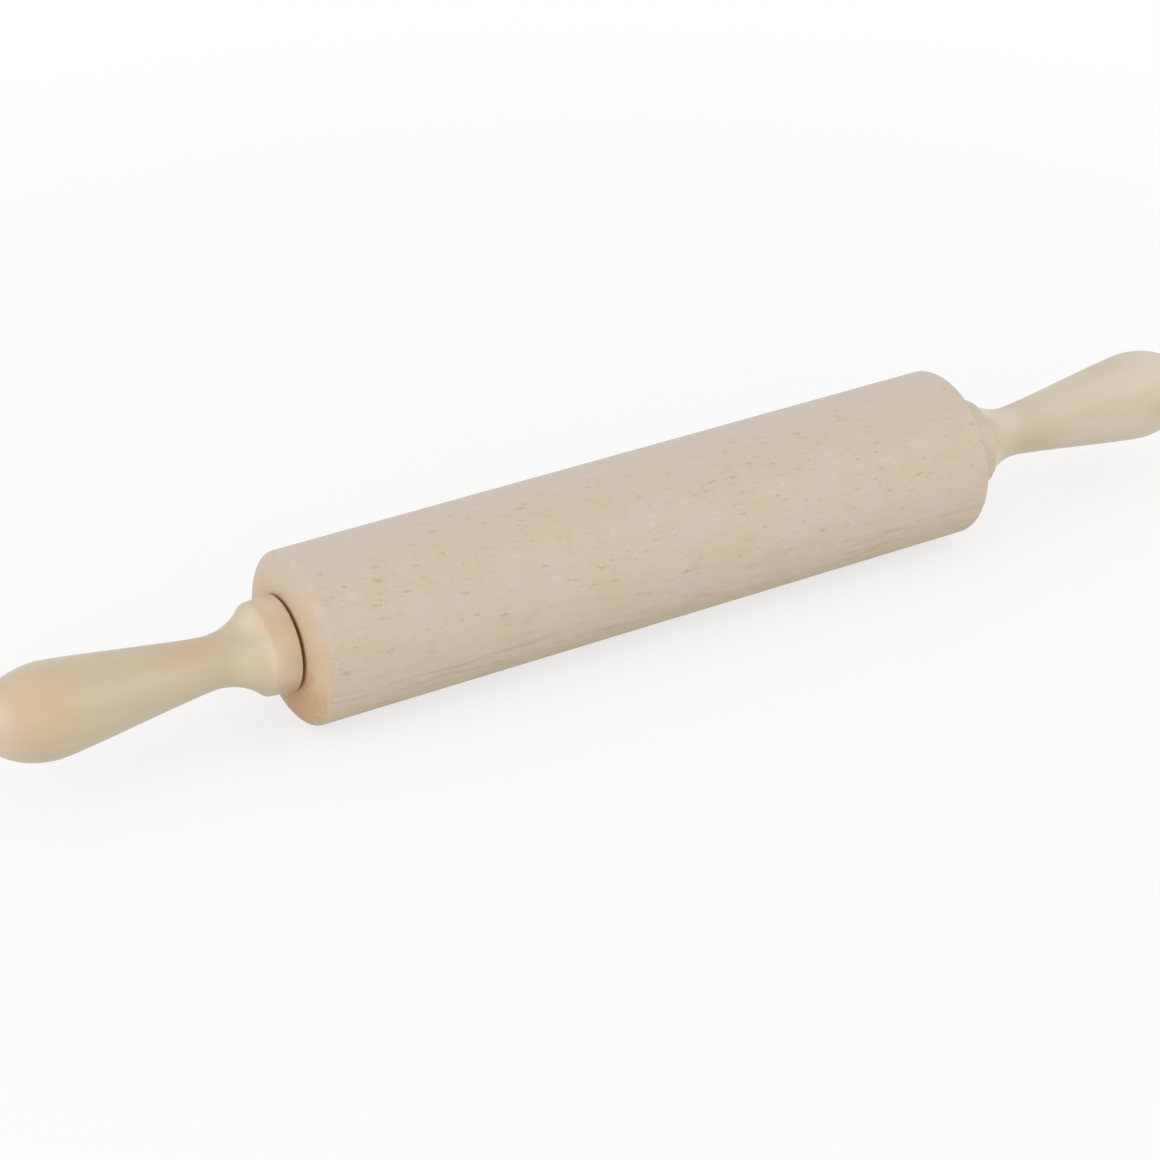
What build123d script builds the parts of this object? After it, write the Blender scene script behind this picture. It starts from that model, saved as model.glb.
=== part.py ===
from build123d import *
import os

# A wooden rolling pin whose roller turns on a steel rod between two handles.
# All lengths are in millimetres. X runs along the pin, from the left handle to the right one,
# Z is up, and the origin is the middle of the roller, on its axis.

# Roller
roller_diameter = 56.0
roller_length = 250.0
end_round_width = 11.0         # how far the rounding of each end reaches in over the end face
end_round_depth = 4.6          # how far it reaches along the side
rod_room = 1.0                 # free space all round the rod inside the roller

# Rod
rod_diameter = 8.0
rod_depth = 60.0               # how far the rod goes into each handle
rod_chamfer = 1.0
groove_count = 3               # rings cut in each end of the rod, which key the glue
groove_width = 1.6
groove_depth = 0.35
groove_pitch = 12.0

# Bushings, pressed into the roller's ends
flange_diameter = 22.0
flange_thickness = 2.0
bushing_diameter = 14.0
bushing_length = 18.0          # with the flange
running_clearance = 0.08       # between the rod and the bushing's bore, all round
bushing_chamfer = 0.8          # lead-in at the inner end
mouth_chamfer = 0.4            # at both ends of the bushing's bore

# Washers, on the rod between each bushing and its handle
washer_diameter = 16.0
washer_thickness = 0.7
washer_clearance = 0.2         # between the rod and the washer's hole, all round

# Handles
end_gap = 1.0                  # from the roller's end face to the handle's collar
handle_length = 99.7
collar_diameter = 31.2         # at the face beside the roller
collar_edge_diameter = 29.8    # at the collar's outer edge, where the hollow begins
collar_length = 8.8
collar_edge_radius = 2.0
collar_face_radius = 0.6
neck_diameter = 16.8
neck_place = 23.9              # from the collar's face to the thinnest place
swell_diameter = 30.2
swell_place = 77.6             # from the collar's face to the thickest place of the grip
glue_space = 2.0               # left free behind the rod's end
bore_chamfer = 0.5             # at the mouth of the handle's bore

# How round the grip's long side is where it leaves the neck and where it reaches the swelling:
# 1 is an even curve, and less is a straighter side between two tighter bends.
grip_roundness_share = 0.36

overrun = 1.0                  # how far a cut starts outside the wood or steel

# Places along the pin, from its middle
face_place = roller_length / 2
collar_place = face_place + end_gap
groove_place = collar_place + rod_depth / 2
rod_length = 2 * (collar_place + rod_depth)

# The two ends of the pin, and the way along X that each one points
end_sides = {"left": -1, "right": 1}


def side_plane(side, place):
    """A plane along the pin's axis at a place on it: x points out of that end, y up."""
    return Plane(origin=(side * place, 0, 0), x_dir=(side, 0, 0), z_dir=(0, -side, 0))


def cross_plane(side, place):
    """A plane across the pin's axis at a place on it, facing out of that end."""
    return Plane(origin=(side * place, 0, 0), z_dir=(side, 0, 0))


def outward(side):
    """The axis that sorts faces and edges from the middle of the pin out to that end."""
    return Axis((0, 0, 0), (side, 0, 0))


def save(piece, name):
    piece.part.label = name
    export_step(piece.part, f"parts/{name}.step")


def make_roller():
    """The beech cylinder, bored end to end, with a stepped seat for a bushing at each end."""
    roller_radius = roller_diameter / 2
    face_flat = roller_radius - end_round_width
    side_end = face_place - end_round_depth
    centre = (0, 0)
    face_centre = (face_place, 0)
    face_rim = (face_place, face_flat)
    side_rim = (side_end, roller_radius)
    side_middle = (0, roller_radius)
    with BuildPart() as roller:
        with BuildSketch(side_plane(1, 0)):
            with BuildLine():
                Polyline(face_rim, face_centre, centre, side_middle, side_rim)
                EllipticalCenterArc(
                    (side_end, face_flat),
                    x_radius=end_round_depth,
                    y_radius=end_round_width,
                    arc_size=90,
                )
            make_face()
            mirror(about=Plane.YZ)
        revolve(axis=Axis.X)
        for side in end_sides.values():
            with Locations(cross_plane(side, face_place)):
                CounterBoreHole(
                    radius=bushing_diameter / 2,
                    counter_bore_radius=flange_diameter / 2,
                    counter_bore_depth=flange_thickness,
                    depth=bushing_length,
                )
        with Locations(cross_plane(1, face_place)):
            Hole(rod_diameter / 2 + rod_room)
    save(roller, "roller")


def make_rod():
    """The steel rod, chamfered, with rings cut round both ends."""
    with BuildPart() as rod:
        with BuildSketch(Plane.YZ):
            Circle(rod_diameter / 2)
        extrude(amount=rod_length / 2, both=True)
        chamfer(rod.edges().filter_by(GeomType.CIRCLE), length=rod_chamfer)
        for side in end_sides.values():
            with BuildSketch(side_plane(side, groove_place)):
                with Locations((0, rod_diameter / 2 - groove_depth)):
                    with GridLocations(groove_pitch, 0, groove_count, 1):
                        Rectangle(groove_width, groove_depth + overrun, align=(Align.CENTER, Align.MIN))
            revolve(axis=Axis.X, mode=Mode.SUBTRACT)
    save(rod, "axle_rod")


def make_bushing(name, side):
    """The plastic bushing, flush with the roller's end face and filling its stepped seat."""
    with BuildPart() as bushing:
        with BuildSketch(cross_plane(side, face_place)):
            Circle(bushing_diameter / 2)
        extrude(amount=-bushing_length)
        inner_face = bushing.faces().sort_by(outward(side))[0]
        chamfer(inner_face.edges(), length=bushing_chamfer)
        with BuildSketch(cross_plane(side, face_place)):
            Circle(flange_diameter / 2)
        extrude(amount=-flange_thickness)
        with Locations(cross_plane(side, face_place)):
            Hole(rod_diameter / 2 + running_clearance)
        bore = bushing.faces().filter_by(GeomType.CYLINDER).sort_by(SortBy.RADIUS)[0]
        chamfer(bore.edges().filter_by(GeomType.CIRCLE), length=mouth_chamfer)
    save(bushing, f"bushing_{name}")


def make_washer(name, side):
    """The steel washer, lying against the handle's collar."""
    with BuildPart() as washer:
        with BuildSketch(cross_plane(side, collar_place)):
            Circle(washer_diameter / 2)
            Circle(rod_diameter / 2 + washer_clearance, mode=Mode.SUBTRACT)
        extrude(amount=-washer_thickness)
    save(washer, f"washer_{name}")


def make_handle(name, side):
    """One turned handle: collar, hollow neck, swelling grip and round end."""
    face_centre = (0, 0)
    collar_face = (0, collar_diameter / 2)
    collar_edge = (collar_length, collar_edge_diameter / 2)
    neck = (neck_place, neck_diameter / 2)
    swell = (swell_place, swell_diameter / 2)
    tip = (handle_length, 0)
    with BuildPart() as handle:
        with BuildSketch(side_plane(side, collar_place)) as outline:
            with BuildLine():
                Polyline(tip, face_centre, collar_face, collar_edge)
                TangentArc(neck, collar_edge, tangent=(-1, 0))
                Spline(
                    neck,
                    swell,
                    tangents=((1, 0), (1, 0)),
                    tangent_scalars=(grip_roundness_share, grip_roundness_share),
                )
                EllipticalCenterArc(
                    (swell_place, 0),
                    x_radius=handle_length - swell_place,
                    y_radius=swell_diameter / 2,
                    arc_size=90,
                )
            make_face()
            fillet(outline.vertices().sort_by_distance(collar_face)[0], radius=collar_face_radius)
            fillet(outline.vertices().sort_by_distance(collar_edge)[0], radius=collar_edge_radius)
        revolve(axis=Axis.X)
        with Locations(cross_plane(-side, -collar_place)):
            Hole(rod_diameter / 2, depth=rod_depth + glue_space)
        collar_rims = handle.edges().filter_by(GeomType.CIRCLE).group_by(outward(side))[0]
        chamfer(collar_rims.sort_by(SortBy.RADIUS)[0], length=bore_chamfer)
    save(handle, f"handle_{name}")


os.makedirs("parts", exist_ok=True)
make_roller()
make_rod()
for name, side in end_sides.items():
    make_bushing(name, side)
    make_washer(name, side)
    make_handle(name, side)
print("pin length", 2 * (collar_place + handle_length), "rod length", rod_length)
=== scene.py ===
import math

import bpy
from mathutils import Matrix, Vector


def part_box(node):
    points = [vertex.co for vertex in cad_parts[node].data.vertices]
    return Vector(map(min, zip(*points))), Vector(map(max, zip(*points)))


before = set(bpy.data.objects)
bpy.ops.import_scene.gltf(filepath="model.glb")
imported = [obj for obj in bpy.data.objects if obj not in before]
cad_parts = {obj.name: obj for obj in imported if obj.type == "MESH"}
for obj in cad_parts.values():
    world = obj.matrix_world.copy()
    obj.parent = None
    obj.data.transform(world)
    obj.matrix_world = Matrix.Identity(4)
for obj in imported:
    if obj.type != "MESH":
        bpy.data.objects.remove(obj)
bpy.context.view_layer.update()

# A wooden rolling pin: a beech roller that turns on a steel rod between two cream handles.
# Lengths are in metres, except where a name or a heading says millimetres. The wood's patterns
# are worked out in millimetres, in the piece's own space, so that they turn with it.

# Camera, at the photograph's viewing angle
camera_place = Vector((-0.533769, -0.866534, 0.565339))
camera_azimuth = math.radians(-30.703)
camera_elevation = math.radians(29.679)
lens_mm = 112.025
sensor_mm = 36.0
nearest_seen = 0.01
farthest_seen = 50.0

# Floor and surroundings
floor_width = 8.0
floor_gap = 0.0001             # below the roller, so that the two faces don't coincide
floor_whitening = 0.7          # share of plain white in what is seen of the floor by the pin
white_distances = (0.25, 0.6)  # from the pin's middle: where that grows, and where it is all white
floor_lit = (0.78, 0.78, 0.78, 1)    # the floor's colour for the light that it throws back
floor_seen = (0.97, 0.97, 0.97, 1)   # and for the eye
floor_roughness = 0.9
floor_gloss = 0.1
plain_white = (1, 1, 1, 1)
world_strength = 0.76
seen_strength = 1.0

# Lamps, all square and turned to the pin's middle: place and watts
lamp_width = 1.6
lamps = {
    "lamp_left": ((-2.0, -0.2, 0.8), 12.6),
    "lamp_right": ((1.6, -1.2, 0.8), 8.6),
    "lamp_front": ((-1.0, -1.9, 0.35), 5.0),
}

millimetres = 1000.0           # in a metre
middle_grey = (0.5, 0.5, 0.5)  # the mean of a noise texture's colour

# Grain of the roller
pith_distance_mm = 95.0        # from the roller's axis to the middle of the tree, behind it
pith_turn = math.radians(-140)  # turns the way from the pith to the roller onto +Y
grain_tilt = math.radians(6)   # between the grain and the roller's axis
waver_mm = (2.2, 4.4, 4.4)     # how far the grain strays: along itself, and to both sides
waver_noise = (0.018, 1.0)     # scale per millimetre, and detail


def colour(red, green, blue):
    """A linear colour from the usual 0 to 255 values."""
    shares = [value / 255 for value in (red, green, blue)]
    linear = [s / 12.92 if s <= 0.04045 else ((s + 0.055) / 1.055) ** 2.4 for s in shares]
    return (*linear, 1.0)


# Colours of the roller's wood, and of the painted sheen and painted shade on it
beech = {
    "pink": colour(211, 193, 176),
    "cream": colour(207, 191, 166),
    "warm": colour(214, 192, 170),
    "olive": colour(202, 186, 148),
    # painted sheen: the top and back of the roller, paler and cooler
    "back": colour(213, 203, 194),
    # painted shade: the front of the underside, darker and yellower
    "painted_underside_shade": colour(202, 184, 143),
    "streak": colour(184, 158, 124),
    "fibre": colour(190, 170, 144),
    "fleck": colour(170, 146, 115),
    "speck": colour(228, 213, 194),
    # painted shade: the end grain browner low down
    "end_painted_shade": colour(201, 164, 121),
    "end_middle": colour(208, 184, 152),
    # painted light: the end grain paler and pinker high up
    "end_painted_light": colour(206, 188, 168),
    "end_pore": colour(170, 130, 92),
    # painted shade: the end grain browner in the gap under the collar
    "end_gap_painted_shade": colour(202, 150, 98),
    # painted shade over the rounding's bright bend, on the side and on the end
    "rim_side_painted_shade": colour(196, 177, 152),
    "rim_end_painted_shade": colour(196, 172, 142),
}

# Soft patterns of the roller's wood. Each has its cells along, out from and round the growth
# rings, in millimetres, then its scale, detail and roughness, then the noise values where it
# begins and where it is full, and its share at both.
beech_patterns = {
    "patches": ((18, 14, 9), 1.0, 3.0, 0.6, 0.38, 0.68, 0, 1),
    "broad": ((90, 30, 26), 1.0, 1.0, 0.5, 0.35, 0.7, 0, 0.5),
    "blotches": ((14, 24, 8), 1.2, 3.0, 0.6, 0.50, 0.70, 0, 0.42),
    "streaks": ((22, 2.4, 1.8), 1.0, 3.0, 0.6, 0.46, 0.74, 0, 1),
    "fibres": ((5, 0.5, 0.5), 1.0, 2.0, 0.6, 0.40, 0.75, 0, 1),
    "flocks": ((26, 40, 14), 1.0, 1.0, 0.5, 0.32, 0.6, 0.3, 1),
}

# Patterns of the roller's end grain, in the same way, with cells along X, Y and Z. The clouds
# raise and lower the colours' borders by so many millimetres.
end_patterns = {
    "clouds": ((9, 9, 9), 1.0, 2.0, 0.5, 0.2, 0.8, -6, 6),
    "pores": ((4, 1.6, 1.6), 1.0, 2.0, 0.6, 0.5, 0.75, 0, 1),
    "ragged": ((9, 1.5, 1.5), 1.0, 2.0, 0.5, 0.25, 0.75, -0.14, 0.14),
}

# Marks of the wood's rays: the cell along the grain and across it, in millimetres, then size and
# chance as shares of a cell, strength and colour
ray_marks = {
    "small": (4.6, 1.2, 0.36, 0.45, 0.30, "fleck"),
    "medium": (8.0, 2.2, 0.30, 0.50, 0.46, "fleck"),
    "large": (13.0, 3.4, 0.26, 0.50, 0.58, "fleck"),
    "pale": (7.0, 2.8, 0.20, 0.30, 0.50, "speck"),
}
ragged_noise = (0.9, 1.0)      # of the marks' outlines: scale per millimetre, and detail
ragged_share = 0.25            # how far the outlines stray, in cells
smallest_share = 0.5           # the smallest mark of a kind, by the largest
mark_core_share = 0.1          # the middle of a mark, which is fully dark
weakest_share = 0.35           # the faintest mark of a kind, by the darkest

# How the roller's looks change with a value: where the change begins and ends, and the share at
# both. Heights are along Z and depths along Y, in millimetres. Squareness is 1 where a face looks
# along the rays, and facing is 1 where it looks along the roller.
beech_changes = {
    "flat_sawn_by_squareness": (0.4, 0.85, 0.1, 1),
    # painted sheen on the top and back of the roller
    "painted_sheen_by_depth": (-14, 6, 0, 0.5),
    # painted shade low on the front of the roller
    "painted_underside_shade_by_height": (-21, -8, 0.6, 0),
    "painted_underside_shade_by_depth": (-12, 16, 1, 0),
    "streaks_by_flat_sawn": (0, 1, 0.48, 0.26),
    "streaks_by_height": (-12, 10, 1, 0.12),
    "streaks_by_depth": (8, 26, 0, 0.45),
    "fibres_by_height": (-8, 18, 0.16, 0.07),
    # painted light high on the end grain
    "end_painted_light_by_height": (4, 26, 0, 1),
    # painted shade low on the end grain
    "end_painted_shade_by_height": (-13, 0, 0, 1),
    # the end grain's pores, strongest low down, in the painted shade
    "pores_by_height": (-20, 0, 0.45, 0.06),
    # painted shade in the gap between the end and the collar
    "gap_painted_shade_by_radius": (14.8, 15.9, 1, 0),
    "gap_painted_shade_by_facing": (0.9, 1, 0, 1),
    # painted shade over the bright bend of the end's rounding
    "rim_painted_shade_begins_by_facing": (0.25, 0.7, 0, 1),
    "rim_painted_shade_ends_by_facing": (0.7, 0.97, 0.3, 0),
    "end_by_facing": (0.5, 1, 0, 1),
    "roughness_by_fibres": (0, 1, 0.5, 0.6),
}
beech_gloss = 0.55
beech_dent = (0.3, 0.00004)    # strength, and depth in metres

# Wood of the handles, with cells along X, Y and Z in millimetres
handle_cells = (60, 9, 9)
handle_fibre_cells = (24, 0.7, 0.7)
handle_fibre = colour(190, 168, 132)
handle_changes = {
    "deep_by_broad": (0.35, 0.68, 0, 1),
    "fibre_by_fibres": (0.42, 0.75, 0, 0.10),
    "roughness_by_broad": (0.3, 0.7, 0.36, 0.46),
}
handle_gloss = 0.5
varnish_share = 0.15
varnish_roughness = 0.3
handle_ridge = (0.2, 0.00003)  # strength, and height in metres

# The handles' main colours and their soft spots, some of them painted highlights and painted shade:
# centre and size in millimetres, colour, share
handle_shades = {
    "left": (colour(206, 190, 161), colour(201, 184, 153)),
    "right": (colour(216, 202, 179), colour(209, 194, 168)),
}
handle_spots_and_painted_light = {
    "left": [
        ((-209, -11, 8), (24, 22, 22), colour(210, 180, 142), 0.6),
        ((-221, -8, 2), (8, 14, 14), colour(212, 192, 170), 0.6),
        ((-219, -9, -8), (12, 12, 10), colour(218, 192, 160), 0.5),
        ((-158, -4, 8), (22, 11, 10), colour(206, 176, 144), 0.6),
        # painted highlights on the top of the neck and on the collar's edge
        ((-139, -3, 14), (7, 9, 7), colour(232, 213, 196), 0.75),
        ((-141, -10, -1), (9, 9, 12), colour(224, 203, 175), 0.65),
        ((-134, -14, 3), (5, 9, 11), colour(228, 205, 178), 0.8),
        ((-130, -13, 8), (6, 9, 10), colour(222, 196, 162), 0.8),
        ((-130, -3, 15), (6, 7, 6), colour(228, 200, 172), 0.8),
        ((-130, -14, -3), (7, 8, 8), colour(224, 202, 170), 0.6),
        # painted shade under the collar, next to the gap
        ((-130, -12, -9), (6, 7, 6), colour(190, 152, 112), 0.6),
        ((-134, -8, 13), (6, 6, 6), colour(222, 190, 152), 0.6),
    ],
    "right": [
        ((205, -14, 2), (14, 12, 12), colour(206, 184, 146), 0.5),
        # painted highlights on the top near the tip and on the neck
        ((206, -2, 15), (20, 10, 10), colour(222, 210, 190), 0.6),
        ((147, -4, 9), (10, 8, 8), colour(226, 214, 196), 0.6),
        # painted shade under the neck and on the collar's lower front
        ((152, -9, -1), (22, 6, 7), colour(202, 183, 146), 0.6),
        ((131, -10, 2), (7, 16, 14), colour(207, 192, 162), 0.8),
        ((130, -6, 13), (7, 12, 9), colour(213, 195, 174), 0.8),
        # painted shade over the bright edge of the collar
        ((136, -8, 8), (5, 12, 12), colour(198, 183, 158), 0.5),
    ],
}

# Steel: its two greys, the marks' cells in millimetres on the rod and on the washers, their
# scale, detail and roughness, and how the colour and the gloss follow them
steel_dark = colour(186, 186, 188)
steel_light = colour(204, 204, 205)
rod_marks = (30, 0.3, 0.3)
washer_marks = (0.5, 0.5, 0.5)
steel_noise = (1.0, 3.0, 0.6)
steel_light_by_marks = (0.3, 0.7, 0, 1)
steel_roughness_by_marks = (0.3, 0.7, 0.26, 0.42)

# Nylon: its two whites, its clouds per millimetre, and what follows them
nylon_pale = colour(226, 222, 208)
nylon_deep = colour(215, 209, 191)
nylon_clouds = 0.35
nylon_deep_by_clouds = (0.35, 0.7, 0, 1)
nylon_roughness_by_clouds = (0.3, 0.7, 0.42, 0.52)


def add(tree, kind, inputs=None, **settings):
    """A node of that kind. Each input is a value or another node's output."""
    made = tree.nodes.new(kind)
    for name, value in settings.items():
        setattr(made, name, value)
    for name, value in (inputs or {}).items():
        if isinstance(value, bpy.types.NodeSocket):
            tree.links.new(value, made.inputs[name])
        else:
            made.inputs[name].default_value = value
    return made


def calculate(tree, operation, first, second=0.0):
    """One sum on two numbers."""
    return add(tree, "ShaderNodeMath", {0: first, 1: second}, operation=operation).outputs[0]


def product(tree, first, second):
    """Two numbers multiplied."""
    return calculate(tree, "MULTIPLY", first, second)


def vector_sum(tree, operation, first, second):
    """One sum on two vectors."""
    made = add(tree, "ShaderNodeVectorMath", {0: first, 1: second}, operation=operation)
    return made.outputs["Vector"]


def length(tree, vector):
    """How long a vector is."""
    return add(tree, "ShaderNodeVectorMath", {0: vector}, operation="LENGTH").outputs["Value"]


def parts_of(tree, vector):
    """A vector's outputs X, Y and Z."""
    return add(tree, "ShaderNodeSeparateXYZ", {0: vector}).outputs


def ramp(tree, value, low, high, to_low=0.0, to_high=1.0):
    """A number that goes smoothly from one value to another as the given one goes from low to high."""
    inputs = {"Value": value, "From Min": low, "From Max": high, "To Min": to_low, "To Max": to_high}
    return add(tree, "ShaderNodeMapRange", inputs, interpolation_type="SMOOTHSTEP").outputs["Result"]


def blend(tree, share, first, second):
    """Two colours mixed by a share."""
    made = add(tree, "ShaderNodeMix", data_type="RGBA")
    for index, value in ((0, share), (6, first), (7, second)):
        if isinstance(value, bpy.types.NodeSocket):
            tree.links.new(value, made.inputs[index])
        else:
            made.inputs[index].default_value = value
    return made.outputs[2]


def noise(tree, place, scale=1.0, detail=2.0, roughness=0.5):
    """Soft random values round 0.5."""
    inputs = {"Vector": place, "Scale": scale, "Detail": detail, "Roughness": roughness}
    return add(tree, "ShaderNodeTexNoise", inputs).outputs


def pattern(tree, place, row):
    """A soft pattern with the cells, noise and shares of a table's row."""
    cells, scale, detail, roughness, *shares = row
    values = noise(tree, vector_sum(tree, "DIVIDE", place, cells), scale, detail, roughness)["Fac"]
    return ramp(tree, values, *shares)


def changed(tree, value, name):
    """The share that a change of the roller's looks has reached at a value."""
    return ramp(tree, value, *beech_changes[name])


def new_material(name):
    """A material with its node tree and its shader."""
    material = bpy.data.materials.new(name)
    material.use_nodes = True
    return material, material.node_tree, material.node_tree.nodes["Principled BSDF"]


def own_place(tree):
    """Where a point lies in the piece, in millimetres."""
    place = add(tree, "ShaderNodeTexCoord").outputs["Object"]
    return vector_sum(tree, "MULTIPLY", place, (millimetres, millimetres, millimetres))


def grain_place(tree, place):
    """Where a point lies in the tree that the piece was cut from, in millimetres.
    X is along the grain, Y out from the pith, and Z round the growth rings."""
    turned = add(tree, "ShaderNodeMapping", {
        "Vector": place,
        "Rotation": (pith_turn, grain_tilt, 0),
        "Location": (0, pith_distance_mm, 0),
    }).outputs["Vector"]
    stray = noise(tree, place, *waver_noise)["Color"]
    stray = vector_sum(tree, "SUBTRACT", stray, middle_grey)
    strayed = vector_sum(tree, "ADD", turned, vector_sum(tree, "MULTIPLY", stray, waver_mm))
    split = parts_of(tree, strayed)
    ring = length(tree, vector_sum(tree, "MULTIPLY", strayed, (0, 1, 1)))
    angle = calculate(tree, "ARCTAN2", split["Z"], split["Y"])
    around = product(tree, angle, pith_distance_mm)
    return add(tree, "ShaderNodeCombineXYZ", {0: split["X"], 1: ring, 2: around}).outputs[0]


def flecks(tree, grain, along, around, size, share):
    """Short ragged marks: the wood's rays, cut across. One cell is so many millimetres."""
    ragged = noise(tree, grain, *ragged_noise)["Color"]
    ragged = vector_sum(tree, "SUBTRACT", ragged, middle_grey)
    ragged = vector_sum(tree, "MULTIPLY", ragged, (ragged_share * along, 0, ragged_share * around))
    split = parts_of(tree, vector_sum(tree, "ADD", grain, ragged))
    flat = add(tree, "ShaderNodeCombineXYZ", {0: split["X"], 1: split["Z"]}).outputs[0]
    inputs = {"Vector": vector_sum(tree, "DIVIDE", flat, (along, around, 1)), "Scale": 1.0}
    cells = add(tree, "ShaderNodeTexVoronoi", inputs, distance="MANHATTAN", voronoi_dimensions="2D")
    chance = add(tree, "ShaderNodeSeparateColor", {0: cells.outputs["Color"]}).outputs
    own_size = ramp(tree, chance["Green"], 0, 1, smallest_share * size, size)
    reach = calculate(tree, "DIVIDE", cells.outputs["Distance"], own_size)
    mark = ramp(tree, reach, mark_core_share, 1, 1, 0)
    chosen = calculate(tree, "LESS_THAN", chance["Red"], share)
    strength = ramp(tree, chance["Blue"], 0, 1, weakest_share, 1)
    return product(tree, product(tree, mark, chosen), strength)


def flat_sawn_share(tree, normal):
    """How much a face looks along the wood's rays, so that they show as flecks."""
    bark_way = (0, math.cos(-pith_turn), math.sin(-pith_turn))
    squareness = add(tree, "ShaderNodeVectorMath", {0: normal, 1: bark_way}, operation="DOT_PRODUCT")
    squareness = calculate(tree, "ABSOLUTE", squareness.outputs["Value"])
    return changed(tree, squareness, "flat_sawn_by_squareness")


def beech_ground(tree, grain, split, flat_sawn):
    """The beech's broad colours, with painted sheen on the top and back and painted shade low on the
    front, without flecks, streaks and fibres.
    """
    shade = blend(tree, pattern(tree, grain, beech_patterns["patches"]), beech["pink"], beech["cream"])
    shade = blend(tree, pattern(tree, grain, beech_patterns["broad"]), shade, beech["warm"])
    blotches = product(tree, pattern(tree, grain, beech_patterns["blotches"]), flat_sawn)
    shade = blend(tree, blotches, shade, beech["olive"])
    # Painted sheen: the top and back are paler and cooler
    shade = blend(tree, changed(tree, split["Y"], "painted_sheen_by_depth"), shade, beech["back"])
    # Painted shade: the front of the underside is darker and yellower
    painted_shade_below = changed(tree, split["Z"], "painted_underside_shade_by_height")
    painted_shade_below = product(tree, painted_shade_below, changed(tree, split["Y"], "painted_underside_shade_by_depth"))
    return blend(tree, painted_shade_below, shade, beech["painted_underside_shade"])


def streak_share(tree, grain, split, flat_sawn):
    """Long streaks, strongest where the wood is edge-sawn, low on the front and on the back."""
    streaks = pattern(tree, grain, beech_patterns["streaks"])
    streaks = product(tree, streaks, changed(tree, flat_sawn, "streaks_by_flat_sawn"))
    low = changed(tree, split["Z"], "streaks_by_height")
    back = changed(tree, split["Y"], "streaks_by_depth")
    return product(tree, streaks, calculate(tree, "MAXIMUM", low, back))


def roller_beech():
    """Bare turned beech. Flat-sawn faces show short ray flecks and edge-sawn ones faint streaks."""
    material, tree, shader = new_material("roller_beech")
    place = own_place(tree)
    split = parts_of(tree, place)
    grain = grain_place(tree, place)
    normal = add(tree, "ShaderNodeTexCoord").outputs["Normal"]
    flat_sawn = flat_sawn_share(tree, normal)
    shade = beech_ground(tree, grain, split, flat_sawn)
    shade = blend(tree, streak_share(tree, grain, split, flat_sawn), shade, beech["streak"])
    fibres = pattern(tree, grain, beech_patterns["fibres"])
    fine = product(tree, fibres, changed(tree, split["Z"], "fibres_by_height"))
    shade = blend(tree, fine, shade, beech["fibre"])

    flocks = product(tree, pattern(tree, grain, beech_patterns["flocks"]), flat_sawn)
    marks = {}
    for name, (*cell, strength, shade_name) in ray_marks.items():
        marks[name] = flecks(tree, grain, *cell)
        share = product(tree, product(tree, marks[name], strength), flocks)
        shade = blend(tree, share, shade, beech[shade_name])

    shade = roller_end(tree, place, normal, shade)
    tree.links.new(shade, shader.inputs["Base Color"])
    tree.links.new(changed(tree, fibres, "roughness_by_fibres"), shader.inputs["Roughness"])
    shader.inputs["Specular IOR Level"].default_value = beech_gloss
    dents = calculate(tree, "ADD", fibres, marks["large"])
    strength, depth = beech_dent
    inputs = {"Height": dents, "Strength": strength, "Distance": depth}
    bump = add(tree, "ShaderNodeBump", inputs, invert=True)
    tree.links.new(bump.outputs["Normal"], shader.inputs["Normal"])
    return material


def roller_end(tree, place, normal, side_shade):
    """The end grain: painted shade makes it browner low down, painted light paler high up, and painted
    shade browner in the gap under the collar; its pores are strongest low down. It runs into the
    side's colour over the rounding, where painted shade holds back the bright bend."""
    facing = calculate(tree, "ABSOLUTE", parts_of(tree, normal)["X"])
    clouds = pattern(tree, place, end_patterns["clouds"])
    height = calculate(tree, "ADD", parts_of(tree, place)["Z"], clouds)
    # Painted light: the end grain is paler and pinker high up
    high = changed(tree, height, "end_painted_light_by_height")
    shade = blend(tree, high, beech["end_middle"], beech["end_painted_light"])
    # Painted shade: the end grain is browner low down
    shade = blend(tree, changed(tree, height, "end_painted_shade_by_height"), beech["end_painted_shade"], shade)
    # Real pores of the end grain, made strongest low down, where they deepen the painted shade
    pores = pattern(tree, place, end_patterns["pores"])
    pores = product(tree, pores, changed(tree, height, "pores_by_height"))
    shade = blend(tree, pores, shade, beech["end_pore"])

    radius = length(tree, vector_sum(tree, "MULTIPLY", place, (0, 1, 1)))
    # Painted shade: the end grain is browner in the gap under the collar
    gap_painted_shade = changed(tree, radius, "gap_painted_shade_by_radius")
    gap_painted_shade = product(tree, gap_painted_shade, changed(tree, facing, "gap_painted_shade_by_facing"))
    shade = blend(tree, gap_painted_shade, shade, beech["end_gap_painted_shade"])
    # Painted shade holds back the bright bend of the rounding
    rim_painted_shade = changed(tree, facing, "rim_painted_shade_begins_by_facing")
    rim_painted_shade = product(tree, rim_painted_shade, changed(tree, facing, "rim_painted_shade_ends_by_facing"))
    side_shade = blend(tree, rim_painted_shade, side_shade, beech["rim_side_painted_shade"])
    shade = blend(tree, rim_painted_shade, shade, beech["rim_end_painted_shade"])
    facing = calculate(tree, "ADD", facing, pattern(tree, place, end_patterns["ragged"]))
    return blend(tree, changed(tree, facing, "end_by_facing"), side_shade, shade)


def patch(tree, place, centre, size):
    """A soft spot on the wood, for its colour or for painted light: 1 at its centre, 0 outside its
    size, all in millimetres.
    """
    away = vector_sum(tree, "SUBTRACT", place, centre)
    away = length(tree, vector_sum(tree, "DIVIDE", away, size))
    return ramp(tree, away, 0, 1, 1, 0)


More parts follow.
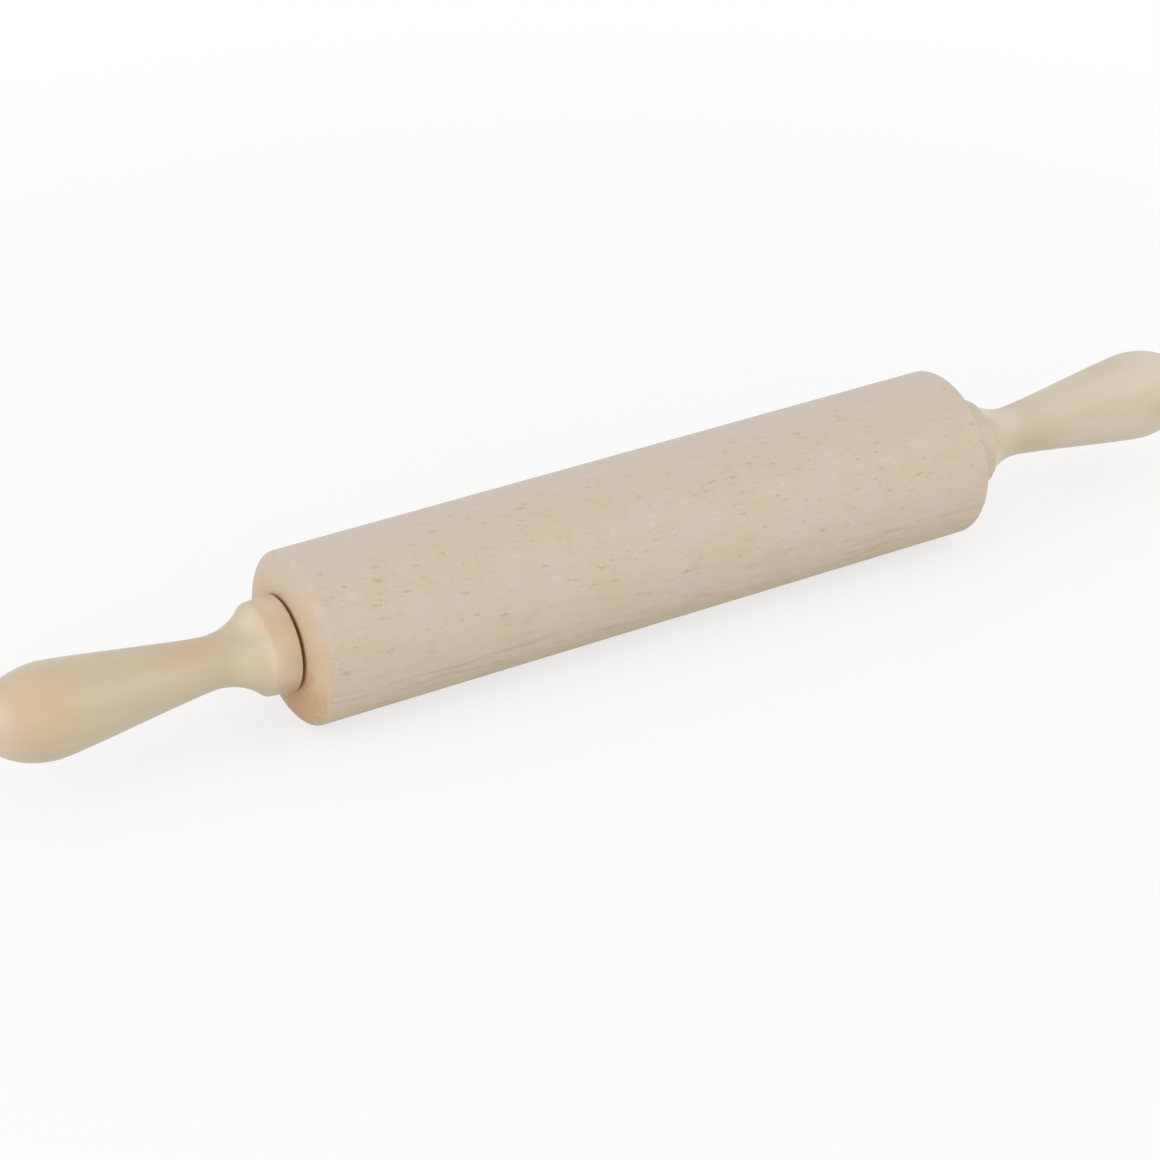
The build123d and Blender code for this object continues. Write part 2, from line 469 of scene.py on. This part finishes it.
def handle_wood(side):
    """Smooth cream wood under a satin varnish, with broad soft changes of colour, soft spots of
    colour, and spots of painted highlight and painted shade.
    """
    material, tree, shader = new_material(f"handle_wood_{side}")
    place = own_place(tree)
    broad = noise(tree, vector_sum(tree, "DIVIDE", place, handle_cells))["Fac"]
    shade = blend(tree, ramp(tree, broad, *handle_changes["deep_by_broad"]), *handle_shades[side])
    fibres = noise(tree, vector_sum(tree, "DIVIDE", place, handle_fibre_cells))["Fac"]
    shade = blend(tree, ramp(tree, fibres, *handle_changes["fibre_by_fibres"]), shade, handle_fibre)
    for centre, size, spot_colour, share in handle_spots_and_painted_light[side]:
        spot = product(tree, patch(tree, place, centre, size), share)
        shade = blend(tree, spot, shade, spot_colour)
    roughness = ramp(tree, broad, *handle_changes["roughness_by_broad"])
    tree.links.new(shade, shader.inputs["Base Color"])
    tree.links.new(roughness, shader.inputs["Roughness"])
    shader.inputs["Specular IOR Level"].default_value = handle_gloss
    shader.inputs["Coat Weight"].default_value = varnish_share
    shader.inputs["Coat Roughness"].default_value = varnish_roughness
    strength, depth = handle_ridge
    bump = add(tree, "ShaderNodeBump", {"Height": fibres, "Strength": strength, "Distance": depth})
    tree.links.new(bump.outputs["Normal"], shader.inputs["Normal"])
    return material


def marked_steel(name, cells):
    """Bright steel with fine drawing or stamping marks."""
    material, tree, shader = new_material(name)
    place = vector_sum(tree, "DIVIDE", own_place(tree), cells)
    marks = noise(tree, place, *steel_noise)["Fac"]
    shade = blend(tree, ramp(tree, marks, *steel_light_by_marks), steel_dark, steel_light)
    tree.links.new(shade, shader.inputs["Base Color"])
    tree.links.new(ramp(tree, marks, *steel_roughness_by_marks), shader.inputs["Roughness"])
    shader.inputs["Metallic"].default_value = 1.0
    return material


def bushing_nylon():
    """Natural nylon, off-white and a little cloudy."""
    material, tree, shader = new_material("bushing_nylon")
    clouds = noise(tree, own_place(tree), nylon_clouds)["Fac"]
    shade = blend(tree, ramp(tree, clouds, *nylon_deep_by_clouds), nylon_pale, nylon_deep)
    tree.links.new(shade, shader.inputs["Base Color"])
    tree.links.new(ramp(tree, clouds, *nylon_roughness_by_clouds), shader.inputs["Roughness"])
    return material


def dress(node, material):
    """Puts a material on a CAD node."""
    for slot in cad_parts[node].material_slots:
        slot.link = "OBJECT"
        slot.material = material


def white_to_eye(tree, share):
    """The share for rays that see the background, in sight, in gloss or through glass, else 0."""
    path = add(tree, "ShaderNodeLightPath").outputs
    seen = calculate(tree, "MAXIMUM", path["Is Camera Ray"], path["Is Glossy Ray"])
    seen = calculate(tree, "MAXIMUM", seen, path["Is Transmission Ray"])
    return product(tree, seen, share)


def make_floor():
    """A plain white floor that the roller lies on."""
    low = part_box("roller")[0].z - floor_gap
    half = floor_width / 2
    corners = [(-half, -half, low), (half, -half, low), (half, half, low), (-half, half, low)]
    mesh = bpy.data.meshes.new("floor")
    mesh.from_pydata(corners, [], [(0, 1, 2, 3)])
    floor = bpy.data.objects.new("floor", mesh)
    bpy.context.scene.collection.objects.link(floor)
    material, tree, shader = new_material("floor_white")
    pale = blend(tree, white_to_eye(tree, 1.0), floor_lit, floor_seen)
    tree.links.new(pale, shader.inputs["Base Color"])
    shader.inputs["Roughness"].default_value = floor_roughness
    shader.inputs["Specular IOR Level"].default_value = floor_gloss
    white = add(tree, "ShaderNodeEmission", {"Strength": seen_strength})
    away = length(tree, add(tree, "ShaderNodeTexCoord").outputs["Object"])
    seen = add(tree, "ShaderNodeMixShader", {
        0: white_to_eye(tree, ramp(tree, away, *white_distances, floor_whitening, 1)),
        1: shader.outputs["BSDF"],
        2: white.outputs["Emission"],
    })
    tree.links.new(seen.outputs[0], tree.nodes["Material Output"].inputs["Surface"])
    mesh.materials.append(material)


def make_world():
    """Even white surroundings."""
    world = bpy.data.worlds.new("studio")
    world.use_nodes = True
    bpy.context.scene.world = world
    tree = world.node_tree
    tree.nodes.clear()
    lit = add(tree, "ShaderNodeBackground", {"Color": plain_white, "Strength": world_strength})
    seen = add(tree, "ShaderNodeBackground", {"Color": plain_white, "Strength": seen_strength})
    mixed = add(tree, "ShaderNodeMixShader", {
        0: white_to_eye(tree, 1.0),
        1: lit.outputs[0],
        2: seen.outputs[0],
    })
    output = add(tree, "ShaderNodeOutputWorld")
    tree.links.new(mixed.outputs[0], output.inputs["Surface"])


def add_lamp(name, place, watts):
    """A square soft box that points at the middle of the pin."""
    lamp = bpy.data.lights.new(name, "AREA")
    lamp.shape = "SQUARE"
    lamp.size = lamp_width
    lamp.energy = watts
    holder = bpy.data.objects.new(name, lamp)
    holder.location = place
    holder.rotation_mode = "QUATERNION"
    holder.rotation_quaternion = (-Vector(place)).to_track_quat("-Z", "Y")
    holder.visible_camera = False
    bpy.context.scene.collection.objects.link(holder)


def make_camera():
    """The camera, level and with no shift, where the photograph was taken from."""
    flat = math.cos(camera_elevation)
    forward = Vector((
        -math.sin(camera_azimuth) * flat,
        math.cos(camera_azimuth) * flat,
        -math.sin(camera_elevation),
    ))
    lens = bpy.data.cameras.new("camera")
    lens.lens = lens_mm
    lens.sensor_width = sensor_mm
    lens.clip_start = nearest_seen
    lens.clip_end = farthest_seen
    camera = bpy.data.objects.new("camera", lens)
    camera.location = camera_place
    camera.rotation_mode = "QUATERNION"
    camera.rotation_quaternion = forward.to_track_quat("-Z", "Y")
    bpy.context.scene.collection.objects.link(camera)
    bpy.context.scene.camera = camera


make_camera()
make_floor()
make_world()
for name, (place, watts) in lamps.items():
    add_lamp(name, place, watts)

dress("roller", roller_beech())
for side in ("left", "right"):
    dress(f"handle_{side}", handle_wood(side))
dress("axle_rod", marked_steel("rod_steel_drawn", rod_marks))
for side in ("left", "right"):
    dress(f"washer_{side}", marked_steel(f"washer_steel_{side}", washer_marks))
    dress(f"bushing_{side}", bushing_nylon())

bpy.context.scene.view_settings.view_transform = "Standard"
